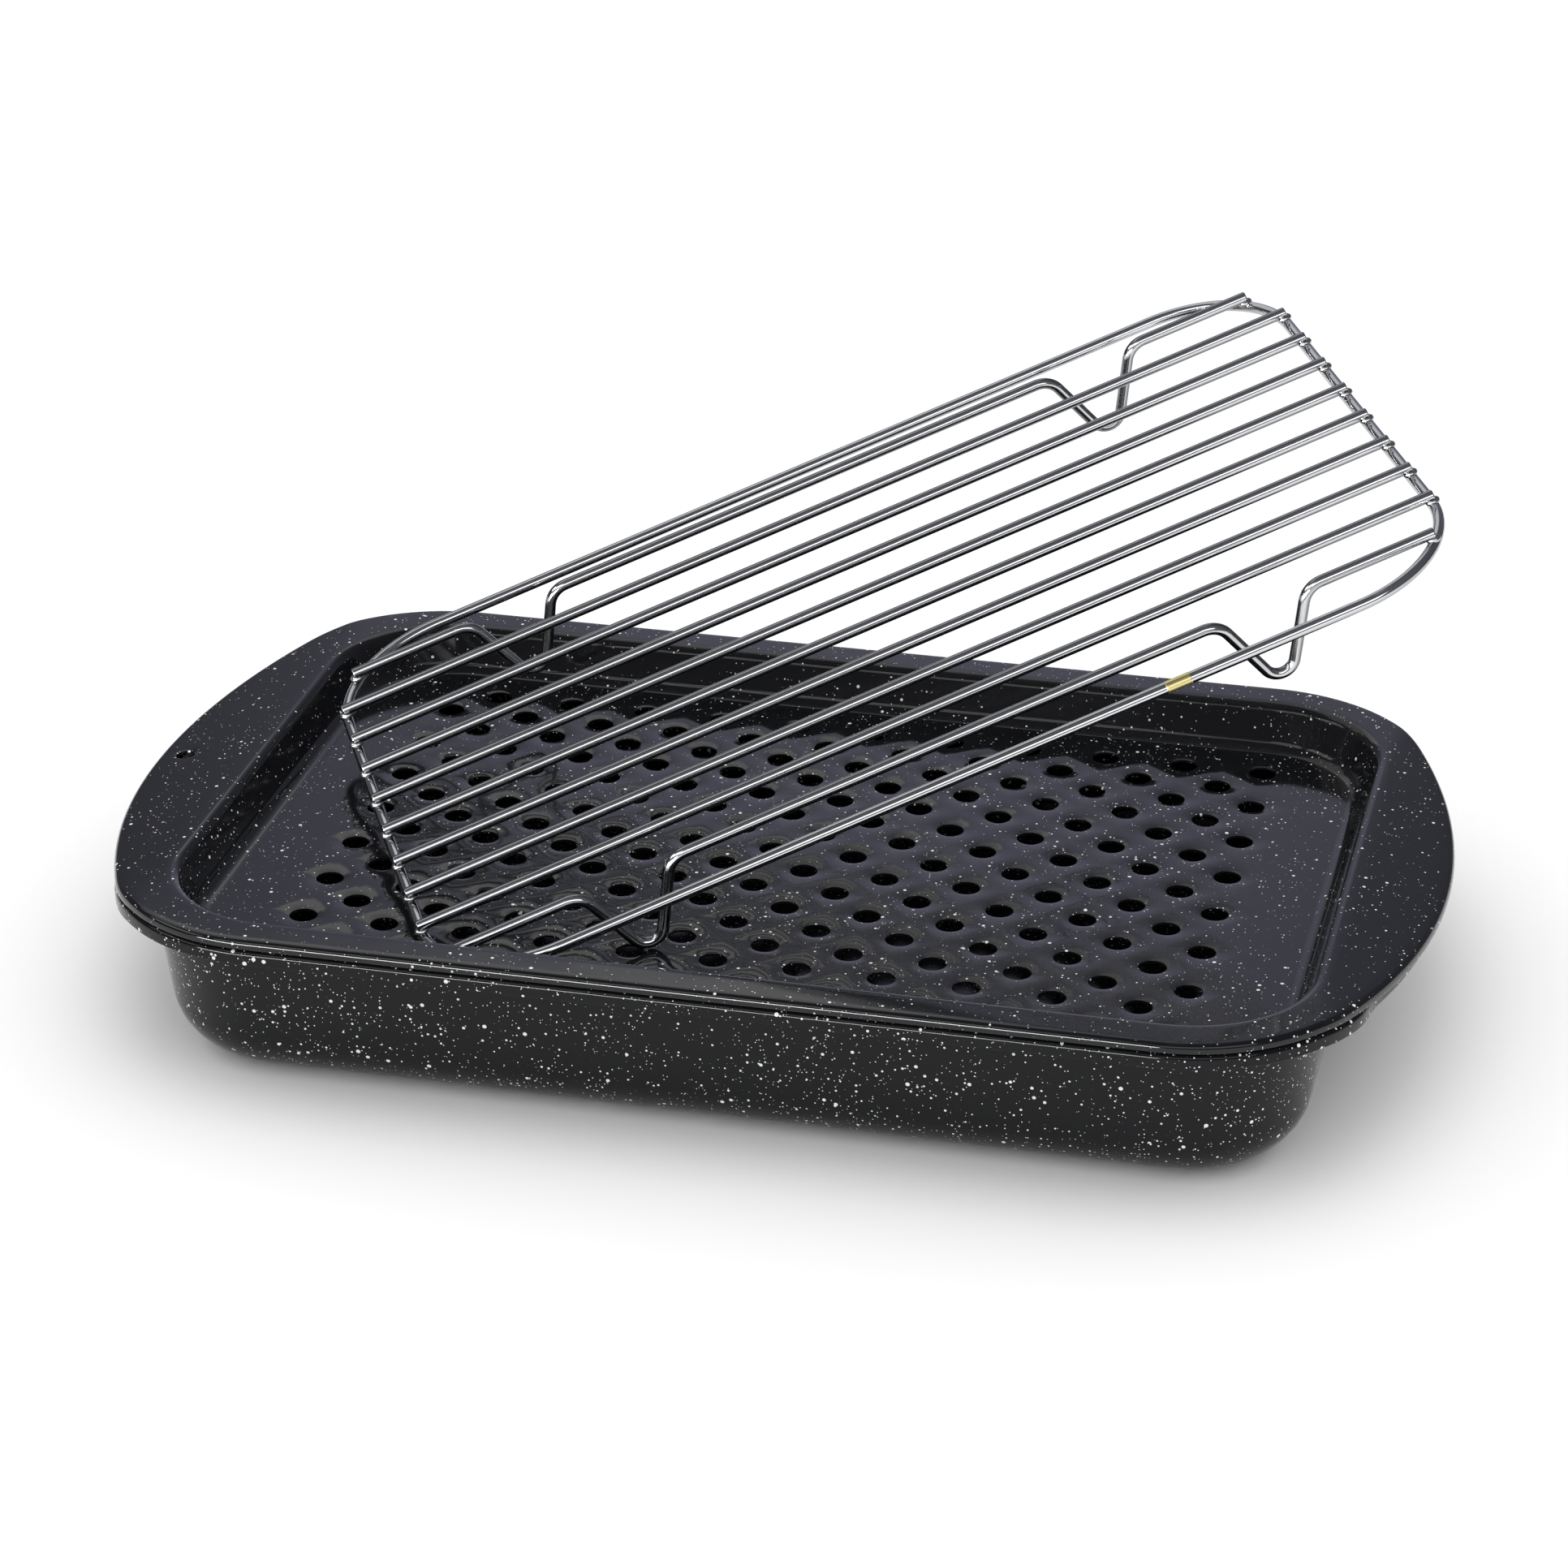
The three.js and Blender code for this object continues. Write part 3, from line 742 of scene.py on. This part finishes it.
FOOT_SLOPE = math.atan2(foot_corner_depth(), FOOT_HALF_SPREAD)
SHOULDER_REACH = SHOULDER_BEND * math.tan(FOOT_SLOPE / 2)
print("slope of the feet in degrees:", round(math.degrees(FOOT_SLOPE), 1))


# %% Straight rods and rods with feet
def bend_foot(pen):
    """A V foot: down, round the toe and up again."""
    down = math.degrees(FOOT_SLOPE)
    slant = math.hypot(foot_corner_depth(), FOOT_HALF_SPREAD)
    leg = slant - SHOULDER_REACH - TOE_BEND * math.tan(FOOT_SLOPE)
    side = Vector((0, 1, 0))
    pen.bend(down, SHOULDER_BEND, side, SHOULDER_STEPS).run(leg)
    pen.bend(2 * down, TOE_BEND, -side, TOE_STEPS).run(leg)
    pen.bend(down, SHOULDER_BEND, side, SHOULDER_STEPS)


def make_rod(k):
    reach = rod_reach(rod_y(k))
    bm = bmesh.new()
    pen = start_wire(bm, (-reach, rod_y(k), 0), ROD)
    footed = {0: "front", ROD_COUNT - 1: "rear"}.get(k)
    if footed is None:
        pen.run(2 * reach)
        name, node = f"rod_{k}", f"rack_rod_{k}"
    else:
        foot = FOOT_HALF_SPREAD + SHOULDER_REACH
        pen.run(FOOT_FROM_END - foot)
        bend_foot(pen)
        pen.run(2 * (reach - FOOT_FROM_END - foot))
        bend_foot(pen)
        pen.run(FOOT_FROM_END - foot)
        name, node = f"footed_rod_{footed}", f"rack_footed_rod_{footed}"
    cap_wire(bm)
    make_wire(name, bm, rod_wire, [node])


for k in range(ROD_COUNT):
    make_rod(k)

# %% [markdown]
# ## Welds
# Resistance welding melts rod and frame together where they cross, and the plating runs over the little
# swell that is left. The loop itself is closed by one butt weld, whose band keeps a brass tint.

# %% Sizes of the welds
WELD_SWELL = (2.6 * MM, 2.2 * MM, 1.5 * MM)
WELD_BELOW = ROD / 2 + 0.15 * MM
BUTT_WELD_LENGTH = 9 * MM
BUTT_WELD_WIRE = FRAME_WIRE + 0.16 * MM


# %% Spot welds and the butt weld
def make_welds():
    bm = bmesh.new()
    swell = Matrix.Diagonal((*WELD_SWELL, 1))
    for k in range(ROD_COUNT):
        for side in (-1, 1):
            x = side * (rod_reach(rod_y(k)) - ROD_OVERHANG)
            place = Matrix.Translation((x, rod_y(k), -WELD_BELOW))
            bmesh.ops.create_icosphere(bm, subdivisions=2, radius=1.0, matrix=place @ swell)
    make_wire("spot_welds", bm, weld_metal, [])


def make_butt_weld():
    bm = bmesh.new()
    at = Vector((BUTT_WELD_X - BUTT_WELD_LENGTH / 2, -FRAME_HALF_WIDTH, -FRAME_BELOW))
    start_wire(bm, at, BUTT_WELD_WIRE).run(BUTT_WELD_LENGTH, 2)
    cap_wire(bm)
    make_wire("butt_weld", bm, brazed_metal, [])


make_welds()
make_butt_weld()

# %% [markdown]
# ## Studio
# A white floor in an even white room, and one soft box above for a shadow. Glass and bright metal have
# little colour of their own, so they also get something to mirror, as a photographer of tableware would
# hang: a tent that is slate behind the object and dark elsewhere, and light cards inside it. A low strip
# draws the bright lines on the lips, and the other cards light the wires. The tent and the cards are seen
# only in reflections.

# %% Sizes and levels of the studio
FLOOR_HALF = 6.0
FLOOR_WHITE = 0.98
FLOOR_ROUGHNESS = 0.9
TENT_RADIUS, TENT_TOP, TENT_HEIGHT, TENT_MIDDLE = 3.6, 0.15, 3.9, 1.97
TENT_SIDES = 96
TENT_DARK = (0.10, 0.10, 0.11)
TENT_SLATE = (0.53, 0.54, 0.70)
SLATE_X = -0.5
SLATE_FROM, SLATE_TO = 0.3, 2.85
ASIDE_NEAR, ASIDE_FAR, ASIDE_LEVEL = 0.1, 1.1, 0.15


# %% Floor and tent
def stage_mesh(name, bm, material):
    mesh = bpy.data.meshes.new(name)
    bm.to_mesh(mesh)
    bm.free()
    mesh.shade_smooth()
    mesh.materials.append(material)
    prop = bpy.data.objects.new(name, mesh)
    bpy.context.collection.objects.link(prop)
    prop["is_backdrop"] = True
    return prop


def only_in_reflections(prop):
    prop.visible_camera = False
    prop.visible_diffuse = False
    prop.visible_transmission = False
    prop.visible_shadow = False


def make_floor():
    bm = bmesh.new()
    bmesh.ops.create_grid(bm, x_segments=1, y_segments=1, size=FLOOR_HALF)
    material, _, surface, _ = new_material("white_floor")
    surface.inputs["Base Color"].default_value = (FLOOR_WHITE, FLOOR_WHITE, FLOOR_WHITE, 1)
    surface.inputs["Roughness"].default_value = FLOOR_ROUGHNESS
    surface.inputs["Specular IOR Level"].default_value = 0.0
    stage_mesh("floor", bm, material)


def make_tent():
    """A round tent, slate behind the object and dark elsewhere, open at the top."""
    bm = bmesh.new()
    bmesh.ops.create_cone(
        bm,
        cap_ends=False,
        segments=TENT_SIDES,
        radius1=TENT_RADIUS,
        radius2=TENT_TOP,
        depth=TENT_HEIGHT,
        matrix=Matrix.Translation((0, 0, TENT_MIDDLE)),
    )
    material, tree, glow, place = new_material("tent_cloth", "ShaderNodeEmission")
    aside = maths(tree, "ABSOLUTE", maths(tree, "SUBTRACT", part(tree, place, "X"), SLATE_X))
    behind = smooth(tree, part(tree, place, "Y"), SLATE_FROM, SLATE_TO)
    lit = maths(tree, "MULTIPLY", behind, smooth(tree, aside, ASIDE_NEAR, ASIDE_FAR, 1.0, ASIDE_LEVEL))
    tree.links.new(blend(tree, lit, TENT_DARK, TENT_SLATE), glow.inputs["Color"])
    only_in_reflections(stage_mesh("tent", bm, material))


make_floor()
make_tent()
print("tent width in m:", 2 * TENT_RADIUS)

# %% Light cards, with their centres, widths, heights and strengths
CARDS = {
    "lip_strip": ((-0.5, -1.25, 0.15), 1.2, 0.2, 30.0),
    "front_card": ((-0.5, -1.15, 1.0), 0.9, 0.5, 2.0),
    "left_card": ((-1.45, -0.55, 1.0), 1.0, 0.5, 2.2),
    "wire_card": ((0.6, -1.15, 0.76), 1.3, 0.5, 1.8),
    "rear_card": ((-0.75, 0.85, 1.45), 1.8, 0.9, 0.9),
    "bar_card": ((-0.56, 1.17, 0.91), 0.7, 0.2, 1.0),
}


def make_card(name, centre, width, height, strength):
    """A light card that faces the object."""
    bm = bmesh.new()
    bmesh.ops.create_grid(bm, x_segments=1, y_segments=1, size=0.5)
    centre = Vector(centre)
    facing = (-centre).to_track_quat("-Z", "Y").to_matrix().to_4x4()
    size = Matrix.Diagonal((width, height, 1, 1))
    bmesh.ops.transform(bm, matrix=Matrix.Translation(centre) @ facing @ size, verts=bm.verts[:])
    material, _, glow, _ = new_material(name, "ShaderNodeEmission")
    glow.inputs["Strength"].default_value = strength
    only_in_reflections(stage_mesh(name, bm, material))


for name, card in CARDS.items():
    make_card(name, *card)
print("light cards:", len(CARDS))

# %% White world and soft box
SOFTBOX_SIZE = 1.2
SOFTBOX_WATTS = 5
SOFTBOX_AT = (-0.1, 0.0, 1.8)


def make_world():
    world = bpy.data.worlds.new("studio")
    bpy.context.scene.world = world
    world.use_nodes = True
    tree = world.node_tree
    tree.nodes.clear()
    white = add(tree, "ShaderNodeBackground", None, {"Color": (1, 1, 1, 1), "Strength": 1.0})
    add(tree, "ShaderNodeOutputWorld", None, {"Surface": white.outputs["Background"]})


def make_softbox():
    light = bpy.data.lights.new("softbox", "AREA")
    light.shape = "SQUARE"
    light.size = SOFTBOX_SIZE
    light.energy = SOFTBOX_WATTS
    lamp = bpy.data.objects.new("softbox", light)
    bpy.context.collection.objects.link(lamp)
    lamp.location = SOFTBOX_AT
    lamp.visible_glossy = False


make_world()
make_softbox()
print("soft box in W:", SOFTBOX_WATTS)

# %% [markdown]
# ## Camera
# The photograph's camera was found from the even grid of drain holes: how fast the rows draw together
# gives the distance, and their slant gives the angle.

# %% Camera at the photograph's angle
CAMERA_TARGET = Vector((-14.17, 46.82, 42.0)) * MM
CAMERA_AZIMUTH, CAMERA_ELEVATION = math.radians(13.317), math.radians(25.545)
CAMERA_DISTANCE = 1630.06 * MM
FOCAL_LENGTH, SENSOR_WIDTH = 108.456, 36
lens = bpy.data.cameras.new("camera")
lens.lens = FOCAL_LENGTH
lens.sensor_width = SENSOR_WIDTH
camera = bpy.data.objects.new("camera", lens)
bpy.context.collection.objects.link(camera)
outward = Vector(
    (
        math.sin(CAMERA_AZIMUTH) * math.cos(CAMERA_ELEVATION),
        -math.cos(CAMERA_AZIMUTH) * math.cos(CAMERA_ELEVATION),
        math.sin(CAMERA_ELEVATION),
    )
)
camera.location = CAMERA_TARGET + outward * CAMERA_DISTANCE
camera.rotation_euler = outward.to_track_quat("Z", "Y").to_euler()
bpy.context.scene.camera = camera
bpy.context.scene.view_settings.view_transform = "Standard"
print("camera in m:", [round(c, 3) for c in camera.location])

# %% Bounds of all pieces
low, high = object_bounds()
